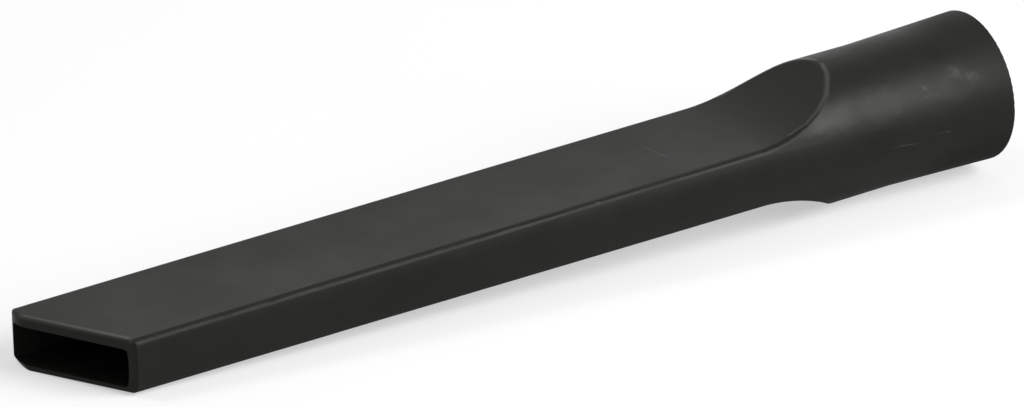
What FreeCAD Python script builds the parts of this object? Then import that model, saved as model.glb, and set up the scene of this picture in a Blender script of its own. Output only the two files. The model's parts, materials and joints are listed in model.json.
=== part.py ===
import FreeCAD, Part
import math
import os
import Sketcher
from FreeCAD import Placement, Rotation, Vector

# Vacuum crevice tool, moulded in one piece. A round push-on collar runs through a scooped ramp into
# a flat nozzle with a slanted mouth. The tool's axis is X, the mouth is towards -X, and the middle of
# the collar's open end is the origin until the finished tool is laid down to rest on Z = 0.
# Lengths are in millimetres and angles in degrees.

SIZES = {
    "tool_length": 252,
    "socket_diameter": 31.8,
    "socket_lead": 0.8,
    "stop_land": 1.5,
    "collar_wall": 2.1,
    "collar_flare": 0.8,
    "collar_length": 30,
    "collar_edge_radius": 0.5,
    "ramp_foot": 71,
    "ramp_clearance": 1,
    "ramp_radius": 39.7,
    "nozzle_width": 33.4,
    "side_flat": 6,
    "foot_thickness": 14.4,
    "mouth_thickness": 13.35,
    "mouth_slant": 26,
    "tip_radius": 6.5,
    "tip_setback": 7.7,
    "heel_height": 5.5,
    "heel_depth": 1.7,
    "edge_radius": 1.7,
    "core_edge_radius": 1,
    "rim_radius": 0.7,
    "wall": 2,
    "trim": 20,
}

# Sizes worked out from the ones above, for the outer form and for the core that hollows it.
DERIVED = {
    "socket_radius": "socket_diameter / 2",
    "socket_end": "stop_land - collar_length",
    "socket_mouth_radius": "socket_radius + 2 * socket_lead",
    "lead_start": "-socket_lead",
    "collar_radius": "socket_radius + collar_wall",
    "root_radius": "collar_radius - collar_flare",
    "root_end": "-collar_length",
    "blank_end": "-tool_length - trim",
    "flat_top": "side_flat / 2",
    "half_width": "nozzle_width / 2",
    "foot_x": "-ramp_foot",
    "foot_z": "foot_thickness / 2",
    "taper": "(foot_thickness - mouth_thickness) / 2 / (tool_length - ramp_foot)",
    "blank_z": "mouth_thickness / 2 - taper * trim",
    "ramp_end_z": "root_radius + ramp_clearance",
    "above": "2 * collar_radius",
    "core_root_radius": "root_radius - wall",
    "core_half_width": "half_width - wall",
    "core_flat_top": "flat_top / 2",
    "core_foot_z": "foot_z - wall",
    "core_blank_z": "blank_z - wall",
    "core_ramp_end_z": "ramp_end_z - wall",
    "core_ramp_radius": "ramp_radius + wall",
    "near_y": "-nozzle_width",
    "far_y": "half_width + rim_radius",
    "near_x": "-near_y * tan(mouth_slant) - tool_length",
    "tip_y": "half_width - tip_setback * cos(mouth_slant)",
    "tip_x": "-tip_y * tan(mouth_slant) - tool_length",
    "tip_end": "tip_x + tip_radius * (cos(mouth_slant) - 1)",
    "cut_end": "blank_end - trim",
    "mouth_bottom": "-mouth_thickness / 2",
    "heel_top": "mouth_bottom + heel_height",
    "heel_end": "tip_end + heel_depth",
    "heel_radius": "(heel_height ^ 2 + heel_depth ^ 2) / (2 * heel_depth)",
    "below": "-above",
    "mouth_start": "half_width * tan(mouth_slant) - tool_length + rim_radius",
}

# The largest slip that still counts as none, and how finely a surface is sampled to find where it rests.
CLOSE = 0.001
SAMPLING = 0.02

doc = FreeCAD.newDocument("crevice_tool")
sheet = doc.addObject("Spreadsheet::Sheet", "Sizes")
for row, (alias, content) in enumerate({**SIZES, **DERIVED}.items(), start=1):
    sheet.set(f"A{row}", alias)
    sheet.set(f"B{row}", f"={content}" if alias in DERIVED else str(content))
    sheet.setAlias(f"B{row}", alias)
doc.recompute()


def size(alias):
    return float(getattr(sheet, alias))


def new_body(name):
    body = doc.addObject("PartDesign::Body", name)
    body.Label = name
    return body


def origin_plane(body, role):
    return next(feature for feature in body.Origin.OriginFeatures if feature.Role == role)


def new_sketch(body, name, role, offset=None):
    sketch = body.newObject("Sketcher::SketchObject", name)
    sketch.AttachmentSupport = [(origin_plane(body, role), "")]
    sketch.MapMode = "FlatFace"
    if offset:
        sketch.setExpression("AttachmentOffset.Base.z", "Sizes." + offset)
    return sketch


def bind(sketch, kind, places, alias):
    """Adds a dimension to a sketch and ties it to a cell."""
    index = sketch.addConstraint(Sketcher.Constraint(kind, *places, size(alias)))
    sketch.setExpression(f"Constraints[{index}]", "Sizes." + alias)


def fix_point(sketch, geometry, point, across, up):
    """Ties a point of a sketch to two cells, or to an axis where a cell is None."""
    for kind, axis, alias in (("DistanceX", -2, across), ("DistanceY", -1, up)):
        if alias is None:
            sketch.addConstraint(Sketcher.Constraint("PointOnObject", geometry, point, axis))
        else:
            bind(sketch, kind, (-1, 1, geometry, point), alias)


def polygon(sketch, corners):
    """Draws a closed outline whose corners are pairs of cells, None standing for a place on an axis."""
    points = [Vector(*[size(alias) if alias else 0 for alias in corner], 0) for corner in corners]
    count = len(points)
    for start in range(count):
        sketch.addGeometry(Part.LineSegment(points[start], points[(start + 1) % count]))
    for start in range(count):
        sketch.addConstraint(Sketcher.Constraint("Coincident", start, 2, (start + 1) % count, 1))
        fix_point(sketch, start, 1, *corners[start])


def revolve(body, name, corners):
    """Turns an outline drawn in the XZ plane about the tool's axis."""
    sketch = new_sketch(body, name + "_outline", "XZ_Plane")
    polygon(sketch, corners)
    turned = body.newObject("PartDesign::Revolution", name)
    turned.Profile = sketch
    turned.ReferenceAxis = (sketch, ["H_Axis"])
    doc.recompute()


def cut_through(body, name, sketch):
    """Cuts a sketch's outline out of the whole body, on both sides of its plane."""
    pocket = body.newObject("PartDesign::Pocket", name)
    pocket.Profile = sketch
    pocket.Type = "ThroughAll"
    pocket.Midplane = True
    doc.recompute()
    return pocket


def round_section(body, name, radius, flat_top):
    """The collar's circle, in four arcs that meet at the height of the nozzle's side flats."""
    sketch = new_sketch(body, name, "YZ_Plane", "root_end")
    circle = Part.Circle(Vector(), Vector(0, 0, 1), size(radius))
    split = math.asin(size(flat_top) / size(radius))
    turns = [-split, split, math.pi - split, math.pi + split, 2 * math.pi - split]
    for start, end in zip(turns, turns[1:]):
        sketch.addGeometry(Part.ArcOfCircle(circle, start, end))
    for arc in range(4):
        sketch.addConstraint(Sketcher.Constraint("Coincident", arc, 2, (arc + 1) % 4, 1))
        sketch.addConstraint(Sketcher.Constraint("Coincident", arc, 3, -1, 1))
    for arc in (0, 2):
        sketch.addConstraint(Sketcher.Constraint("Vertical", arc, 1, arc, 2))
    sketch.addConstraint(Sketcher.Constraint("Horizontal", 1, 1, 1, 2))
    bind(sketch, "DistanceY", (-1, 1, 0, 2), flat_top)
    bind(sketch, "Radius", (0,), radius)
    return sketch


def flat_sided_section(body, name, half_width, flat_top):
    """The nozzle's blank section past the mouth: upright flat sides under round top and bottom."""
    sketch = new_sketch(body, name, "YZ_Plane", "blank_end")
    wide, high = size(half_width), size(flat_top)
    normal = Vector(0, 0, 1)
    sketch.addGeometry(Part.LineSegment(Vector(wide, -high, 0), Vector(wide, high, 0)))
    upper = Part.Circle(Vector(0, high, 0), normal, wide)
    lower = Part.Circle(Vector(0, -high, 0), normal, wide)
    sketch.addGeometry(Part.ArcOfCircle(upper, 0, math.pi))
    sketch.addGeometry(Part.LineSegment(Vector(-wide, high, 0), Vector(-wide, -high, 0)))
    sketch.addGeometry(Part.ArcOfCircle(lower, math.pi, 2 * math.pi))
    for edge in range(4):
        sketch.addConstraint(Sketcher.Constraint("Tangent", edge, 2, (edge + 1) % 4, 1))
    sketch.addConstraint(Sketcher.Constraint("Vertical", 0))
    sketch.addConstraint(Sketcher.Constraint("Vertical", 2))
    sketch.addConstraint(Sketcher.Constraint("PointOnObject", 1, 3, -2))
    fix_point(sketch, 0, 2, half_width, flat_top)
    bind(sketch, "DistanceY", (0, 1, -1, 1), flat_top)
    return sketch


def scoop(body, name, foot_z, blank_z, ramp_end_z, ramp_radius):
    """Cuts the blank down to the nozzle's wide face and its ramp, above and below the axis."""
    sketch = new_sketch(body, name + "_outline", "XZ_Plane")
    start = Vector(size("blank_end"), size(blank_z), 0)
    foot = Vector(size("foot_x"), size(foot_z), 0)
    high = size("above")
    radius = size(ramp_radius)
    face = math.atan2(foot.y - start.y, foot.x - start.x)
    centre = foot + Vector(-math.sin(face), math.cos(face), 0) * radius
    leave = -math.asin((centre.y - size(ramp_end_z)) / radius)
    arc = Part.ArcOfCircle(Part.Circle(centre, Vector(0, 0, 1), radius), face - math.pi / 2, leave)
    end = arc.EndPoint
    sketch.addGeometry(Part.LineSegment(start, foot))
    sketch.addGeometry(arc)
    sketch.addGeometry(Part.LineSegment(end, Vector(end.x, high, 0)))
    sketch.addGeometry(Part.LineSegment(Vector(end.x, high, 0), Vector(start.x, high, 0)))
    sketch.addGeometry(Part.LineSegment(Vector(start.x, high, 0), start))
    sketch.addConstraint(Sketcher.Constraint("Tangent", 0, 2, 1, 1))
    for edge in range(1, 5):
        sketch.addConstraint(Sketcher.Constraint("Coincident", edge, 2, (edge + 1) % 5, 1))
    sketch.addConstraint(Sketcher.Constraint("Vertical", 2))
    sketch.addConstraint(Sketcher.Constraint("Horizontal", 3))
    fix_point(sketch, 0, 1, "blank_end", blank_z)
    fix_point(sketch, 0, 2, "foot_x", foot_z)
    fix_point(sketch, 3, 2, "blank_end", "above")
    bind(sketch, "Radius", (1,), ramp_radius)
    bind(sketch, "DistanceY", (-1, 1, 1, 2), ramp_end_z)
    pocket = cut_through(body, name, sketch)
    mirrored = body.newObject("PartDesign::Mirrored", name + "_below")
    mirrored.Originals = [pocket]
    mirrored.MirrorPlane = (origin_plane(body, "XY_Plane"), [""])
    body.Tip = mirrored
    doc.recompute()


def nozzle(body, name, inset):
    """The long blank from the collar to past the mouth, scooped to its wide faces and rounded."""
    blank = body.newObject("PartDesign::AdditiveLoft", name + "_blank")
    flat_top = inset + "flat_top"
    blank.Profile = round_section(body, name + "_root", inset + "root_radius", flat_top)
    blank.Sections = [flat_sided_section(body, name + "_end", inset + "half_width", flat_top)]
    blank.Ruled = True
    body.Tip = blank
    doc.recompute()
    heights = [inset + height for height in ("foot_z", "blank_z", "ramp_end_z")]
    scoop(body, name + "_scoop", *heights, inset + "ramp_radius")


def round_edges(body, name, radius, wanted):
    """Rounds the edges of the body's last shape that the test wanted() picks."""
    base = body.Tip
    edges = enumerate(base.Shape.Edges, start=1)
    names = [f"Edge{number}" for number, edge in edges if wanted(edge)]
    fillet = body.newObject("PartDesign::Fillet", name)
    fillet.Base = (base, names)
    fillet.setExpression("Radius", "Sizes." + radius)
    body.Tip = fillet
    doc.recompute()


def long_edge(edge):
    """True for an edge where a wide face or its ramp meets a narrow side or the collar."""
    box = edge.BoundBox
    level = box.ZLength < CLOSE
    return box.XMax < size("root_end") and box.XLength > size("wall") and not level


def collar_edge(edge):
    """True for the outer edge of the collar's open end."""
    box = edge.BoundBox
    return max(abs(box.XMin), abs(box.XMax)) < CLOSE and box.ZLength > size("collar_radius")


def mouth_edge(edge):
    """True for the edges around the mouth, but not for the line where its straight and round cuts join."""
    box = edge.BoundBox
    inner = max(abs(box.YMin), abs(box.YMax)) < size("half_width") - size("rim_radius")
    joint = inner and box.ZLength > size("foot_z")
    return box.XMax < size("mouth_start") and not joint


def cut_mouth(body):
    """Cuts the blank's end off aslant, with a round tip on the longer far side."""
    sketch = new_sketch(body, "mouth_outline", "XY_Plane")
    slant = math.radians(size("mouth_slant"))
    radius = size("tip_radius")
    near = Vector(size("near_x"), size("near_y"), 0)
    tip = Vector(size("tip_x"), size("tip_y"), 0)
    centre = tip + Vector(math.cos(slant), math.sin(slant), 0) * radius
    turn = math.asin((size("far_y") - centre.y) / radius)
    arc = Part.ArcOfCircle(Part.Circle(centre, Vector(0, 0, 1), radius), math.pi - turn, math.pi + slant)
    far_corner = Vector(size("cut_end"), size("far_y"), 0)
    near_corner = Vector(size("cut_end"), size("near_y"), 0)
    sketch.addGeometry(Part.LineSegment(near, tip))
    sketch.addGeometry(arc)
    sketch.addGeometry(Part.LineSegment(arc.StartPoint, far_corner))
    sketch.addGeometry(Part.LineSegment(far_corner, near_corner))
    sketch.addGeometry(Part.LineSegment(near_corner, near))
    sketch.addConstraint(Sketcher.Constraint("Tangent", 0, 2, 1, 2))
    for first, leaving, second in ((1, 1, 2), (2, 2, 3), (3, 2, 4), (4, 2, 0)):
        sketch.addConstraint(Sketcher.Constraint("Coincident", first, leaving, second, 1))
    fix_point(sketch, 0, 1, "near_x", "near_y")
    fix_point(sketch, 0, 2, "tip_x", "tip_y")
    fix_point(sketch, 2, 2, "cut_end", "far_y")
    fix_point(sketch, 3, 2, "cut_end", "near_y")
    bind(sketch, "Radius", (1,), "tip_radius")
    bind(sketch, "DistanceY", (-1, 1, 1, 1), "far_y")
    cut_through(body, "mouth", sketch)


def cut_heel(body):
    """Rounds the lower corner of the tip, seen from the side."""
    sketch = new_sketch(body, "heel_outline", "XZ_Plane")
    top = Vector(size("tip_end"), size("heel_top"), 0)
    bottom = Vector(size("heel_end"), size("mouth_bottom"), 0)
    radius = size("heel_radius")
    centre = top + Vector(radius, 0, 0)
    turn = math.asin(size("heel_height") / radius)
    arc = Part.ArcOfCircle(Part.Circle(centre, Vector(0, 0, 1), radius), math.pi, math.pi + turn)
    corners = [bottom, Vector(bottom.x, size("below"), 0), Vector(size("cut_end"), size("below"), 0),
               Vector(size("cut_end"), top.y, 0), top]
    sketch.addGeometry(arc)
    for first, last in zip(corners, corners[1:]):
        sketch.addGeometry(Part.LineSegment(first, last))
    for edge in range(5):
        sketch.addConstraint(Sketcher.Constraint("Coincident", edge, 2, (edge + 1) % 5, 1))
    fix_point(sketch, 0, 1, "tip_end", "heel_top")
    fix_point(sketch, 0, 2, "heel_end", "mouth_bottom")
    fix_point(sketch, 1, 2, "heel_end", "below")
    fix_point(sketch, 2, 2, "cut_end", "below")
    fix_point(sketch, 3, 2, "cut_end", "heel_top")
    bind(sketch, "Radius", (0,), "heel_radius")
    cut_through(body, "heel", sketch)


def make_outer():
    body = new_body("outer_form")
    revolve(body, "collar", [
        (None, None), (None, "collar_radius"), ("root_end", "root_radius"), ("root_end", None),
    ])
    nozzle(body, "nozzle", "")
    round_edges(body, "long_edges", "edge_radius", long_edge)
    cut_mouth(body)
    round_edges(body, "mouth_rim", "rim_radius", mouth_edge)
    cut_heel(body)
    round_edges(body, "collar_end", "collar_edge_radius", collar_edge)
    return body


def make_core():
    """The air way: a push-on socket with a lead-in and a stop, the inner ramp and the flat duct."""
    body = new_body("core_form")
    revolve(body, "socket", [
        ("socket_lead", None), ("socket_lead", "socket_mouth_radius"), ("lead_start", "socket_radius"),
        ("socket_end", "socket_radius"), ("socket_end", "core_root_radius"), ("root_end", "core_root_radius"),
        ("root_end", None),
    ])
    nozzle(body, "duct", "core_")
    round_edges(body, "duct_edges", "core_edge_radius", long_edge)
    return body


def resting_pitch(shape):
    """Pitch of the line that touches the underside on both sides of the tool's weight."""
    points, _ = shape.tessellate(SAMPLING)
    weight = shape.CenterOfGravity.x
    nozzle_points = [point for point in points if point.x < weight]
    collar_points = [point for point in points if point.x > weight]

    def slope(toe, heel):
        return (heel.z - toe.z) / (heel.x - toe.x)

    toe = min(nozzle_points, key=lambda point: point.z)
    heel = None
    settled = False
    while not settled:
        last = (toe, heel)
        heel = min(collar_points, key=lambda point: slope(toe, point))
        toe = max(nozzle_points, key=lambda point: slope(point, heel))
        settled = last == (toe, heel)
    return math.degrees(math.atan(slope(toe, heel)))


def lay_down(tool):
    """Turns the tool until its tip and its collar both touch Z = 0, centred over the origin."""
    pitch = resting_pitch(tool.Shape)
    turned = tool.Shape.copy()
    turned.Placement = Placement(Vector(), Rotation(Vector(0, 1, 0), pitch))
    box = turned.optimalBoundingBox(False)
    tool.Placement = Placement(Vector(-box.Center.x, -box.Center.y, -box.ZMin), turned.Placement.Rotation)
    doc.recompute()


tool = doc.addObject("Part::Cut", "crevice_tool")
tool.Label = "crevice_tool"
tool.Base = make_outer()
tool.Tool = make_core()
doc.recompute()
for thing in doc.Objects:
    if {"Invalid", "Error"} & set(thing.State):
        raise RuntimeError(f"{thing.Label} failed: {thing.State}")
if tool.Shape.isNull() or not tool.Shape.isValid() or len(tool.Shape.Solids) != 1:
    raise RuntimeError("the tool is not one valid solid")
lay_down(tool)

os.makedirs("parts", exist_ok=True)
tool.Shape.exportStep(f"parts/{tool.Label}.step")
print(f"volume {tool.Shape.Volume:.0f} mm3, box {tool.Shape.optimalBoundingBox(False)}")
print(f"placement {tool.Placement}")
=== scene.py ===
import json
import math

import bmesh
import bpy
from mathutils import Matrix, Vector


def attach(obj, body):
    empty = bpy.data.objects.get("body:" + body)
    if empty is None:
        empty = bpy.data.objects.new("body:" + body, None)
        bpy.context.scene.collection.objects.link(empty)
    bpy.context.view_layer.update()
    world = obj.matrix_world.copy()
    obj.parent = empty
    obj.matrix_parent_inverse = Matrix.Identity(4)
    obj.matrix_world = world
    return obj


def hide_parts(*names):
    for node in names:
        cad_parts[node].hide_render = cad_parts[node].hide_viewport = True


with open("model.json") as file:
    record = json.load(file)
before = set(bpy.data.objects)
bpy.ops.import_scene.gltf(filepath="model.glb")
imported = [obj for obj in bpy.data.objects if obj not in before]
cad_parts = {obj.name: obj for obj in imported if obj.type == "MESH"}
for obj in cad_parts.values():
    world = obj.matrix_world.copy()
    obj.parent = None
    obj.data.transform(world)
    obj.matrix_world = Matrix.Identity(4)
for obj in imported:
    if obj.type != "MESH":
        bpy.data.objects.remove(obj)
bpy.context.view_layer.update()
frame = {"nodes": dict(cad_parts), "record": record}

# A vacuum crevice tool of black moulded plastic, lying on a pale floor in soft studio light.
# A copy of the CAD node's mesh is finished at the mouth and gets a procedural material.
# Lengths are in metres unless a comment says millimetres, angles in degrees.

MM = 0.001

TOOL = frame["nodes"]["crevice_tool"]
SOCKET = frame["record"]["mounts"][0]

# The tool's own axes: along it towards the collar, across it to the mouth's longer side, and up off its wide
# face. Its origin is the middle of the collar's open end, a short lead-in away from the socket's bore.
TOOL_X = Vector(SOCKET["axis"]).normalized()
TOOL_Y = Vector((0, 1, 0))
TOOL_Z = TOOL_X.cross(TOOL_Y)
SOCKET_LEAD = 0.8 * MM
TOOL_ORIGIN = Vector(SOCKET["pos_m"]) + TOOL_X * (SOCKET["dims"]["length_mm"] / 2 * MM + SOCKET_LEAD)

# The camera, from a fit of the tool's outline: it looks across the tool from the mouth's near side.
CAMERA_TURN = 33.4095
CAMERA_RISE = 24.1209
CAMERA_ROLL = -1.4202
CAMERA_DISTANCE = 4.0
CAMERA_REACH = 100.0
# Where it aims: along the tool from its origin, then to the camera's right and up.
CAMERA_AIM = (-126.0305 * MM, -3.2642 * MM, 2.9659 * MM)
# The scale of the picture at the aim, the picture's width in pixels and the sensor's width in millimetres.
PIXELS_PER_METRE = 4330.58
IMAGE_WIDTH = 1024
SENSOR_WIDTH = 36.0

# The studio: its light on the tool, and the white that the camera and a gloss see.
AMBIENT_LIGHT = 0.35
WHITE_LIGHT = 1.0
FLOOR_REACH = 6.0
FLOOR_GREY = 0.5
# For the camera and in a gloss the floor glows, and more so far from the tool, so that it shows no horizon.
GLOW_DISTANCES = (0.3, 1.7)
GLOW_LEVELS = (0.5, 0.84)
# Light panels: the place to the camera's right, ahead and up, the width and the power.
PANELS = {"key": ((1.2, -0.28, 0.78), 0.95, 24.5),
          "rim": ((-0.55, 0.1, 0.9), 0.3, 2.0)}


def in_tool(x, y, z):
    """A direction given along the tool's own axes."""
    return TOOL_X * x + TOOL_Y * y + TOOL_Z * z


def camera_axes():
    """The camera's right, up and backward directions."""
    turn, rise, roll = (math.radians(angle) for angle in (CAMERA_TURN, CAMERA_RISE, CAMERA_ROLL))
    right = in_tool(math.cos(turn), -math.sin(turn), 0)
    ahead = in_tool(math.sin(turn), math.cos(turn), 0)
    up = ahead * math.sin(rise) + TOOL_Z * math.cos(rise)
    back = TOOL_Z * math.sin(rise) - ahead * math.cos(rise)
    rolled_right = right * math.cos(roll) + up * math.sin(roll)
    rolled_up = up * math.cos(roll) - right * math.sin(roll)
    return rolled_right, rolled_up, back


def add_camera():
    right, up, back = camera_axes()
    along, side, height = CAMERA_AIM
    aim = TOOL_ORIGIN + TOOL_X * along + right * side + up * height
    place = aim + back * CAMERA_DISTANCE
    data = bpy.data.cameras.new("camera")
    data.sensor_width = SENSOR_WIDTH
    data.lens = PIXELS_PER_METRE * CAMERA_DISTANCE / IMAGE_WIDTH * SENSOR_WIDTH
    data.clip_end = CAMERA_REACH
    camera = bpy.data.objects.new("camera", data)
    turned = Matrix((right, up, back)).transposed().to_4x4()
    camera.matrix_world = Matrix.Translation(place) @ turned
    bpy.context.collection.objects.link(camera)
    bpy.context.scene.camera = camera


class Nodes:
    """Adds and joins the nodes of one material or world."""

    def __init__(self, owner):
        owner.use_nodes = True
        self.tree = owner.node_tree
        self.tree.nodes.clear()

    def add(self, kind, settings=None, **inputs):
        """Adds a node. Inputs are named by their sockets, with _ for a space."""
        node = self.tree.nodes.new(kind)
        for name, value in (settings or {}).items():
            setattr(node, name, value)
        for name, value in inputs.items():
            self.set(node.inputs[name.replace("_", " ")], value)
        return node

    def set(self, socket, value):
        """Gives an input a value, or joins it to another node's output."""
        if isinstance(value, bpy.types.NodeSocket):
            self.tree.links.new(value, socket)
        else:
            socket.default_value = value

    def math(self, operation, *values, clamp=False):
        node = self.add("ShaderNodeMath", {"operation": operation, "use_clamp": clamp})
        for socket, value in zip(node.inputs, values):
            self.set(socket, value)
        return node.outputs[0]

    def vector(self, operation, *values):
        node = self.add("ShaderNodeVectorMath", {"operation": operation})
        for socket, value in zip(node.inputs, values):
            self.set(socket, value)
        return node

    def noise(self, where, scale, detail, roughness):
        node = self.add("ShaderNodeTexNoise", Vector=where, Scale=scale, Detail=detail, Roughness=roughness)
        return node.outputs["Fac"]

    def ramp(self, value, low, high, to_low=0.0, to_high=1.0):
        """Carries a value smoothly from one range to another, clamped."""
        node = self.add("ShaderNodeMapRange", {"interpolation_type": "SMOOTHSTEP"}, Value=value,
                        From_Min=low, From_Max=high, To_Min=to_low, To_Max=to_high)
        return node.outputs["Result"]

    def mix_colour(self, factor, first, second):
        node = self.add("ShaderNodeMix", {"data_type": "RGBA"}, Factor=factor)
        colours = [socket for socket in node.inputs if socket.type == "RGBA"]
        self.set(colours[0], first)
        self.set(colours[1], second)
        return next(socket for socket in node.outputs if socket.type == "RGBA")

    def bump(self, strength, depth, height, below=None, invert=False):
        """Bumps of a height pattern, on top of the bumps below."""
        node = self.add("ShaderNodeBump", {"invert": invert}, Strength=strength, Distance=depth,
                        Height=height)
        if below is not None:
            self.set(node.inputs["Normal"], below)
        return node.outputs["Normal"]

    def seen_apart(self, lights, seen):
        """One shader lights the scene. The other is what the camera, a gloss or glass sees of it."""
        path = self.add("ShaderNodeLightPath").outputs
        direct = self.math("MAXIMUM", path["Is Camera Ray"], path["Is Glossy Ray"])
        sees = self.math("MAXIMUM", direct, path["Is Transmission Ray"])
        mixed = self.add("ShaderNodeMixShader", Fac=sees)
        self.set(mixed.inputs[1], lights.outputs[0])
        self.set(mixed.inputs[2], seen.outputs[0])
        return mixed.outputs[0]


def grey(value):
    return (value, value, value, 1)


def add_world():
    world = bpy.data.worlds.new("studio")
    bpy.context.scene.world = world
    nodes = Nodes(world)
    ambient = nodes.add("ShaderNodeBackground", Color=grey(1), Strength=AMBIENT_LIGHT)
    white = nodes.add("ShaderNodeBackground", Color=grey(1), Strength=WHITE_LIGHT)
    nodes.add("ShaderNodeOutputWorld", Surface=nodes.seen_apart(ambient, white))


def pale_floor():
    material = bpy.data.materials.new("pale_floor")
    nodes = Nodes(material)
    paper = nodes.add("ShaderNodeBsdfDiffuse", Color=grey(FLOOR_GREY))
    place = nodes.add("ShaderNodeTexCoord").outputs["Object"]
    from_tool = nodes.vector("LENGTH", place).outputs["Value"]
    strength = nodes.ramp(from_tool, *GLOW_DISTANCES, *GLOW_LEVELS)
    glow = nodes.add("ShaderNodeEmission", Color=grey(1), Strength=strength)
    glowing = nodes.add("ShaderNodeAddShader")
    nodes.set(glowing.inputs[0], paper.outputs[0])
    nodes.set(glowing.inputs[1], glow.outputs[0])
    nodes.add("ShaderNodeOutputMaterial", Surface=nodes.seen_apart(paper, glowing))
    return material


def add_floor():
    corners = [(-FLOOR_REACH, -FLOOR_REACH, 0), (FLOOR_REACH, -FLOOR_REACH, 0),
               (FLOOR_REACH, FLOOR_REACH, 0), (-FLOOR_REACH, FLOOR_REACH, 0)]
    mesh = bpy.data.meshes.new("floor")
    mesh.from_pydata(corners, [], [(0, 1, 2, 3)])
    mesh.materials.append(pale_floor())
    floor = bpy.data.objects.new("floor", mesh)
    bpy.context.collection.objects.link(floor)


def in_view(right, ahead, up):
    """A place in the room, by the camera's right, its level way ahead and upright."""
    across = camera_axes()[0]
    across = Vector((across.x, across.y, 0)).normalized()
    onward = Vector((-across.y, across.x, 0))
    return across * right + onward * ahead + Vector((0, 0, up))


def add_panel(name, place, size, power):
    """A soft square light that faces the floor under the tool's middle."""
    data = bpy.data.lights.new(name, "AREA")
    data.shape = "SQUARE"
    data.size = size
    data.energy = power
    panel = bpy.data.objects.new(name, data)
    panel.location = place
    panel.rotation_euler = (-place).to_track_quat("-Z", "Y").to_euler()
    bpy.context.collection.objects.link(panel)


# Small forms of the mouth that the photo shows and the solid has plainer.
# Their sizes and places are in millimetres along the tool's own axes.
# Half the mouth's width and height, and the wall of its lips, as the solid has them.
HALF_WIDTH = 16.7
HALF_HEIGHT = 6.675
LIP = 2.0
# The opening sits lower between its lips. The drop sets in along the duct and is whole near the mouth.
OPENING_DROP = 0.7
DROP_START = -215.0
DROP_END = -241.0
# The lower lip ends in a round heel. It starts at a place across the mouth with a slope, stands out most at
# its middle and falls back from there with the square of the distance. It grows from its top down to the
# lip's foot, and from its rear to its front.
HEEL_START = 7.65
HEEL_SLOPE = 0.5
HEEL_MIDDLE = 10.2
HEEL_BULGE = 0.8
HEEL_FALL = 0.044
HEEL_TOP = -1.175
HEEL_REAR = -252.5
HEEL_FRONT = -255.0
# The mesh past these places along, across and up is made finer first: its long edges are cut.
FINE_ALONG = -253.5
FINE_ACROSS = 5.0
FINE_UP = -1.0
LONG_EDGE = 0.8
EDGE_CUTS = 5
# Points of the mesh that lie closer together than this are one point.
SAME_POINT = 0.001


def share_of(start, end, value):
    """How far a value has come from the start to the end, from 0 to 1."""
    return min(max((value - start) / (end - start), 0.0), 1.0)


def smooth_share(start, end, value):
    """The same, with a smooth change at the start and at the end."""
    share = share_of(start, end, value)
    return share * share * (3 - 2 * share)


def opening_drop(x, y, z):
    """How far a point of the mouth moves down, off the upper wide face."""
    between_sides = share_of(HALF_WIDTH, HALF_WIDTH - LIP, abs(y))
    between_lips = share_of(HALF_HEIGHT, HALF_HEIGHT - LIP, abs(z))
    return OPENING_DROP * smooth_share(DROP_START, DROP_END, x) * between_sides * between_lips


def heel_push(x, y, z):
    """How far a point of the lower lip moves forward, along the floor."""
    if y < HEEL_START:
        return 0.0
    bulge = min(HEEL_BULGE - HEEL_FALL * (y - HEEL_MIDDLE) ** 2, (y - HEEL_START) * HEEL_SLOPE)
    low = share_of(HEEL_TOP, -HALF_HEIGHT, z)
    return bulge * low * low * smooth_share(HEEL_REAR, HEEL_FRONT, x)


def own_place(vertex):
    """A point of the mesh along the tool's own axes, in millimetres."""
    offset = vertex.co - TOOL_ORIGIN
    return [offset.dot(axis) / MM for axis in (TOOL_X, TOOL_Y, TOOL_Z)]


def on_heel(vertex):
    x, y, z = own_place(vertex)
    return x < FINE_ALONG and y > FINE_ACROSS and z < FINE_UP


def refine_heel(form):
    """Cuts the long edges of the heel, so that it can be bent round."""
    heel = [edge for edge in form.edges if all(on_heel(vertex) for vertex in edge.verts)]
    coarse = [edge for edge in heel if edge.calc_length() > LONG_EDGE * MM]
    bmesh.ops.subdivide_edges(form, edges=coarse, cuts=EDGE_CUTS)
    bmesh.ops.triangulate(form, faces=[face for face in form.faces if len(face.verts) > 3])


def finished_tool(node):
    """The node's form as a piece of its own, with the mouth's small forms."""
    piece = bpy.data.objects.new("nozzle", node.data.copy())
    bpy.context.collection.objects.link(piece)
    form = bmesh.new()
    form.from_mesh(piece.data)
    bmesh.ops.remove_doubles(form, verts=form.verts, dist=SAME_POINT * MM)
    refine_heel(form)
    for vertex in form.verts:
        place = own_place(vertex)
        forward = Vector((-heel_push(*place), 0, 0))
        vertex.co += (forward - TOOL_Z * opening_drop(*place)) * MM
    form.to_mesh(piece.data)
    form.free()
    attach(piece, "root")
    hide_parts(node.name)
    return piece


# Edges that bend by more than this stay sharp in the shading.
SHARP_ANGLE = 35
# How far large facets outweigh small ones in the shading: 50 is neutral and 100 the most.
AREA_WEIGHT = 100


def shade_evenly(piece):
    """Evens out the shading across the facets, and leaves true corners sharp."""
    corners = piece.modifiers.new("corners", "EDGE_SPLIT")
    corners.split_angle = math.radians(SHARP_ANGLE)
    even = piece.modifiers.new("even_shading", "WEIGHTED_NORMAL")
    even.mode = "FACE_AREA"
    even.weight = AREA_WEIGHT


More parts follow.
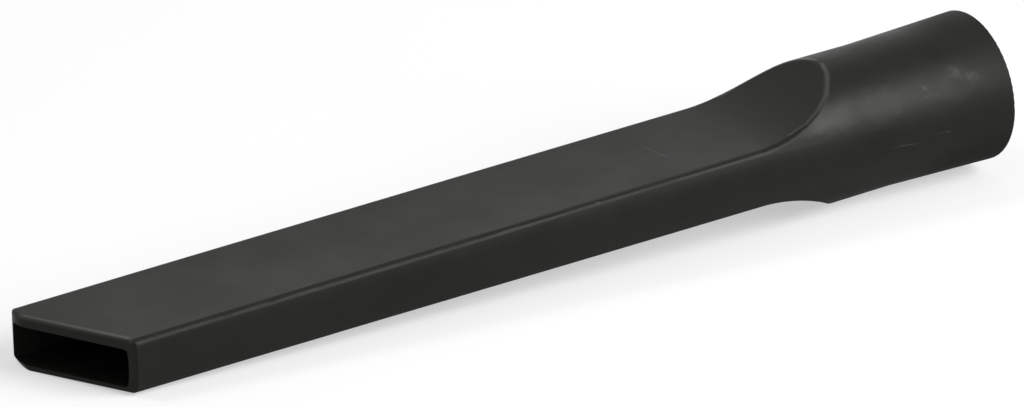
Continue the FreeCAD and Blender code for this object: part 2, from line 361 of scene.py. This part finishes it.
# Wear on the tool: the ends of a line and its reach, in millimetres in the shared frame.
SCUFFS = [((104.2, -13.9, 28.8), (105.3, -14.9, 27.4), 0.8),
          ((104.1, -15.1, 26.9), (107.4, -15.5, 26.4), 0.7),
          ((113.3, -13.1, 30.5), (117.8, -14.9, 28.5), 2.4)]
SCRATCHES = [((37.0, 4.3, 22.1), (38.3, -5.2, 22.2), 0.35),
             ((93.2, -17.1, 16.9), (101.5, -17.2, 16.4), 0.4),
             ((105.9, -17.3, 17.8), (110.1, -17.5, 17.7), 0.35),
             ((11.2, -15.9, 20.2), (11.9, -16.0, 20.2), 0.5)]
RUBBED_SPOT = ((76.0, -14.9, 25.4), (79.0, -15.0, 25.9), 7.0)
# Edges that use has polished, with a highlight painted into the colour along them: points along an edge and
# the reach at each, in the same way. The crease's far half mirrors the near one.
MOUTH_EDGE = [((-129.2, 12.4, 12.9), 0.6), ((-128.9, 11.4, 13.0), 1.1), ((-122.5, -1.6, 13.4), 1.1),
              ((-116.3, -13.9, 13.8), 0.8), ((-115.9, -15.2, 13.4), 0.0)]
CREASE = [((84.0, -1.4, 34.5), 0.6), ((83.6, -2.6, 34.4), 1.0), ((82.7, -5.3, 33.7), 1.1),
          ((81.2, -7.7, 32.6), 1.0), ((79.1, -10.3, 30.9), 0.9), ((75.5, -12.4, 28.6), 0.7),
          ((71.4, -13.7, 26.5), 0.5), ((66.2, -14.0, 24.8), 0.0)]

# Patterns of the plastic: the scale of a noise per metre, its detail and its roughness.
PATCHES = (60.0, 4.0, 0.6)
GRAIN = (3200.0, 2.0, 0.6)
WAVES = (70.0, 1.0, 0.4)
SPECKLE = (450.0, 3.0, 0.65)
# The stretch of a pattern over which the look changes.
PATCH_CHANGE = (0.3, 0.7)
SCUFF_CHANGE = (0.38, 0.68)
SCRATCH_CHANGE = (0.4, 0.6)
# How unevenly the edges are polished and painted with a highlight.
POLISH_AND_HIGHLIGHT_CHANGE = (0.2, 0.6)
LEAST_POLISH_AND_HIGHLIGHT = 0.5

# Colours of the plastic, in linear light.
DARK_PATCH = (0.005, 0.005, 0.0042, 1)
LIGHT_PATCH = (0.0075, 0.0075, 0.0063, 1)
# A painted highlight: the lighter colour along the polished mouth edge and crease.
PAINTED_HIGHLIGHT_COLOUR = (0.05, 0.05, 0.045, 1)
SCRATCH_COLOUR = grey(0.03)
SCUFF_COLOUR = grey(0.035)
SPECULAR_LEVEL = 0.15
SPECULAR_TINT = (1.0, 1.0, 0.95, 1.0)

# Roughness of the plastic over its patches, and what wear adds to it.
PATCH_ROUGHNESS = (0.395, 0.49)
RUBBED_ROUGHNESS = -0.16
POLISHED_ROUGHNESS = -0.14
# The underside is matt from being dragged, by how far a face looks down.
DRAGGED_ROUGHNESS = 0.32
DRAGGED_FACES = (-0.75, -0.05)
# The collar's end is matt from being pushed on. The change wavers with the patches.
PUSHED_ROUGHNESS = 0.16
PUSHED_STRETCH = (114 * MM, 134 * MM)
PUSHED_WAVER = 20 * MM

# Bumps of the plastic: strength and depth.
GRAIN_BUMP = (0.12, 0.1 * MM)
SCRATCH_BUMP = (0.4, 0.1 * MM)
WAVE_BUMP = (0.25, 0.25 * MM)
# The wide faces have sunk a little between their edges, as moulded walls do when they cool, up to the ramp.
SINK_BUMP = (1.0, 0.4 * MM)
SINK_STRETCH = (40 * MM, 75 * MM)


def near_line(nodes, where, start, end, reach):
    """1 on a line between two points, given in millimetres, down to 0 at the reach."""
    start, end = Vector(start) * MM, Vector(end) * MM
    along = end - start
    offset = nodes.vector("SUBTRACT", where, start).outputs["Vector"]
    share = nodes.vector("DOT_PRODUCT", offset, along / along.length_squared).outputs["Value"]
    share = nodes.math("MULTIPLY", share, 1.0, clamp=True)
    nearest = nodes.vector("SCALE", along)
    nodes.set(nearest.inputs["Scale"], share)
    away = nodes.vector("DISTANCE", offset, nearest.outputs["Vector"]).outputs["Value"]
    return nodes.ramp(away, 0.0, reach * MM, 1.0, 0.0)


def near_lines(nodes, where, lines):
    """1 on any of the lines, down to 0 at their reach."""
    masks = [near_line(nodes, where, *line) for line in lines]
    nearest = masks[0]
    for mask in masks[1:]:
        nearest = nodes.math("MAXIMUM", nearest, mask)
    return nearest


def edge_lines(edge):
    """The lines between the points of an edge, each with the reach at its start."""
    return [(start, end, reach) for (start, reach), (end, _) in zip(edge, edge[1:])]


def speckled_lines(nodes, where, lines, speckle, change):
    """Worn lines that a speckle breaks up."""
    return nodes.math("MULTIPLY", near_lines(nodes, where, lines), nodes.ramp(speckle, *change))


def polished_and_highlighted_edges(nodes, where, patches):
    """The mouth's edge and both halves of the crease, polished unevenly and with a painted highlight."""
    along, across, height = nodes.add("ShaderNodeSeparateXYZ", Vector=where).outputs
    near_side = nodes.math("MULTIPLY", nodes.math("ABSOLUTE", across), -1.0)
    either_side = nodes.add("ShaderNodeCombineXYZ", X=along, Y=near_side, Z=height).outputs[0]
    mouth = near_lines(nodes, where, edge_lines(MOUTH_EDGE))
    crease = near_lines(nodes, either_side, edge_lines(CREASE))
    uneven_polish_and_highlight = nodes.ramp(patches, *POLISH_AND_HIGHLIGHT_CHANGE, LEAST_POLISH_AND_HIGHLIGHT, 1.0)
    return nodes.math("MULTIPLY", nodes.math("MAXIMUM", mouth, crease), uneven_polish_and_highlight)


def matt_wear(nodes, along, facing_up, patches):
    """The roughness that use adds to the underside and to the collar's end."""
    dragged = nodes.ramp(facing_up, *DRAGGED_FACES, DRAGGED_ROUGHNESS, 0.0)
    wavering = nodes.math("MULTIPLY_ADD", patches, PUSHED_WAVER, along)
    pushed_on = nodes.ramp(wavering, *PUSHED_STRETCH, 0.0, PUSHED_ROUGHNESS)
    return nodes.math("ADD", dragged, pushed_on)


def sunk_faces(nodes, along, across):
    """The height of the sunk wide faces: 0 in the middle and 1 at their edges, but level on the ramp."""
    from_middle = nodes.math("DIVIDE", across, HALF_WIDTH * MM)
    hollow = nodes.math("MULTIPLY", from_middle, from_middle)
    return nodes.math("MULTIPLY", hollow, nodes.ramp(along, *SINK_STRETCH, 1.0, 0.0))


def plastic():
    """Near-black moulded plastic: fine grain, faint waves, patchy gloss, a little wear, and a painted
    highlight along the polished edges.
    """
    material = bpy.data.materials.new("black_plastic")
    nodes = Nodes(material)
    coordinates = nodes.add("ShaderNodeTexCoord").outputs
    where = coordinates["Object"]
    along, across, _ = nodes.add("ShaderNodeSeparateXYZ", Vector=where).outputs
    facing_up = nodes.add("ShaderNodeSeparateXYZ", Vector=coordinates["Normal"]).outputs["Z"]
    patches = nodes.noise(where, *PATCHES)
    grain = nodes.noise(where, *GRAIN)
    waves = nodes.noise(where, *WAVES)
    speckle = nodes.noise(where, *SPECKLE)
    scuffed = speckled_lines(nodes, where, SCUFFS, speckle, SCUFF_CHANGE)
    scratched = speckled_lines(nodes, where, SCRATCHES, speckle, SCRATCH_CHANGE)
    rubbed = near_line(nodes, where, *RUBBED_SPOT)
    polish_and_highlight_mask = polished_and_highlighted_edges(nodes, where, patches)

    colour = nodes.mix_colour(nodes.ramp(patches, *PATCH_CHANGE), DARK_PATCH, LIGHT_PATCH)
    # A painted highlight: the polished edges are lighter in colour.
    colour = nodes.mix_colour(polish_and_highlight_mask, colour, PAINTED_HIGHLIGHT_COLOUR)
    colour = nodes.mix_colour(scratched, colour, SCRATCH_COLOUR)
    colour = nodes.mix_colour(scuffed, colour, SCUFF_COLOUR)

    roughness = nodes.ramp(patches, *PATCH_CHANGE, *PATCH_ROUGHNESS)
    roughness = nodes.math("MULTIPLY_ADD", rubbed, RUBBED_ROUGHNESS, roughness)
    # The same edges are really polished: they are less rough.
    roughness = nodes.math("MULTIPLY_ADD", polish_and_highlight_mask, POLISHED_ROUGHNESS, roughness)
    roughness = nodes.math("ADD", roughness, matt_wear(nodes, along, facing_up, patches))

    bumps = nodes.bump(*GRAIN_BUMP, grain)
    bumps = nodes.bump(*SCRATCH_BUMP, scratched, bumps, invert=True)
    bumps = nodes.bump(*WAVE_BUMP, waves, bumps)
    bumps = nodes.bump(*SINK_BUMP, sunk_faces(nodes, along, across), bumps)

    shader = nodes.add("ShaderNodeBsdfPrincipled", Base_Color=colour, Roughness=roughness, Normal=bumps,
                       Specular_IOR_Level=SPECULAR_LEVEL, Specular_Tint=SPECULAR_TINT)
    nodes.add("ShaderNodeOutputMaterial", Surface=shader.outputs[0])
    return material


nozzle = finished_tool(TOOL)
shade_evenly(nozzle)
nozzle.data.materials.clear()
nozzle.data.materials.append(plastic())

bpy.context.scene.view_settings.view_transform = "Standard"
add_camera()
add_world()
add_floor()
for name, (place, size, power) in PANELS.items():
    add_panel(name, in_view(*place), size, power)
